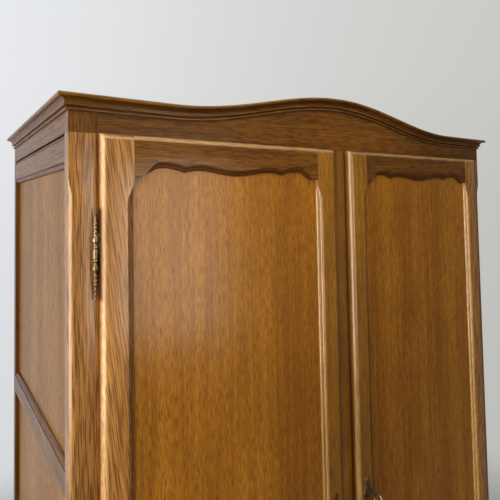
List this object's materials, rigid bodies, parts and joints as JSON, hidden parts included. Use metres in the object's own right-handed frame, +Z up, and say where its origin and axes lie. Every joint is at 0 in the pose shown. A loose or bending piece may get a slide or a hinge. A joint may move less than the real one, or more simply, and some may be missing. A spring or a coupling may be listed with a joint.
{
  "type": "wardrobe",
  "caption": "Free-standing oak wardrobe with panelled doors on turned barrel hinges, locks with keys, framed sides, a hat shelf, a hanging rail and an arched crown with a moulded cornice.",
  "frame": {"origin": "on the floor, under the middle of the whole", "axes": "+Z up, +X to the right seen from the front, +Y to the back; the doors face -Y"},
  "size_m": [1.34, 0.6952, 2],
  "materials": {
    "lacquered_oak": "golden brown satin lacquer",
    "oak_veneer": "golden brown satin lacquer",
    "plywood": "bare",
    "antique_brass": "aged",
    "lock_steel": "bright"
  },
  "bodies": {
    "carcass": {"cornice_front": "lacquered_oak", "cornice_left": "lacquered_oak", "cornice_right": "lacquered_oak", "crown_frieze": "lacquered_oak", "crown_stub_left": "lacquered_oak", "crown_stub_right": "lacquered_oak", "crown_side_left": "lacquered_oak", "crown_side_right": "lacquered_oak", "crown_top_panel": "plywood", "front_post_left": "lacquered_oak", "rear_post_left": "lacquered_oak", "side_bottom_rail_left": "lacquered_oak", "side_lower_rail_left": "lacquered_oak", "side_upper_rail_left": "lacquered_oak", "side_top_rail_left": "lacquered_oak", "side_lower_panel_left": "oak_veneer", "side_middle_panel_left": "oak_veneer", "side_upper_panel_left": "oak_veneer", "front_post_right": "lacquered_oak", "rear_post_right": "lacquered_oak", "side_bottom_rail_right": "lacquered_oak", "side_lower_rail_right": "lacquered_oak", "side_upper_rail_right": "lacquered_oak", "side_top_rail_right": "lacquered_oak", "side_lower_panel_right": "oak_veneer", "side_middle_panel_right": "oak_veneer", "side_upper_panel_right": "oak_veneer", "centre_post": "lacquered_oak", "front_top_rail": "lacquered_oak", "front_apron": "lacquered_oak", "back_panel": "plywood", "bottom_panel": "oak_veneer", "hat_shelf": "oak_veneer", "hanging_rail": "lock_steel", "left_door_upper_hinge_post_half": "antique_brass", "left_door_lower_hinge_post_half": "antique_brass", "right_door_upper_hinge_post_half": "antique_brass", "right_door_lower_hinge_post_half": "antique_brass"},
    "left_door": {"left_door_hinge_stile": "lacquered_oak", "left_door_lock_stile": "lacquered_oak", "left_door_top_rail": "lacquered_oak", "left_door_bottom_rail": "lacquered_oak", "left_door_panel": "oak_veneer", "left_door_upper_hinge_door_half": "antique_brass", "left_door_lower_hinge_door_half": "antique_brass", "left_door_escutcheon": "antique_brass", "left_door_lock_case": "lock_steel"},
    "left_key": {"left_door_key": "antique_brass"},
    "left_bolt": {"left_door_lock_bolt": "lock_steel"},
    "right_door": {"right_door_hinge_stile": "lacquered_oak", "right_door_lock_stile": "lacquered_oak", "right_door_top_rail": "lacquered_oak", "right_door_bottom_rail": "lacquered_oak", "right_door_panel": "oak_veneer", "right_door_upper_hinge_door_half": "antique_brass", "right_door_lower_hinge_door_half": "antique_brass", "right_door_escutcheon": "antique_brass", "right_door_lock_case": "lock_steel"},
    "right_key": {"right_door_key": "antique_brass"},
    "right_bolt": {"right_door_lock_bolt": "lock_steel"}
  },
  "joints": [
    {"name": "left_door_hinge", "type": "hinge", "parent": "carcass", "child": "left_door", "pos_m": [-0.6055, -0.28545, 1], "axis": [0, 0, -1], "range_deg": [0, 150]},
    {"name": "left_key_turn", "type": "hinge", "parent": "left_door", "child": "left_key", "pos_m": [-0.055, -0.30255, 1.02], "axis": [0, 1, 0], "range_deg": [0, 180]},
    {"name": "left_bolt_slide", "type": "slide", "parent": "left_door", "child": "left_bolt", "axis": [1, 0, 0], "range_m": [0, 0.0115]},
    {"name": "right_door_hinge", "type": "hinge", "parent": "carcass", "child": "right_door", "pos_m": [0.6055, -0.28545, 1], "axis": [0, 0, 1], "range_deg": [0, 150]},
    {"name": "right_key_turn", "type": "hinge", "parent": "right_door", "child": "right_key", "pos_m": [0.055, -0.30255, 1.02], "axis": [0, -1, 0], "range_deg": [0, 180]},
    {"name": "right_bolt_slide", "type": "slide", "parent": "right_door", "child": "right_bolt", "axis": [-1, 0, 0], "range_m": [0, 0.0115]}
  ],
  "couplings": [
    {"joint": "left_bolt_slide", "follows": "left_key_turn", "m_per_rad": 0.0031831},
    {"joint": "right_bolt_slide", "follows": "right_key_turn", "m_per_rad": 0.0031831}
  ]
}
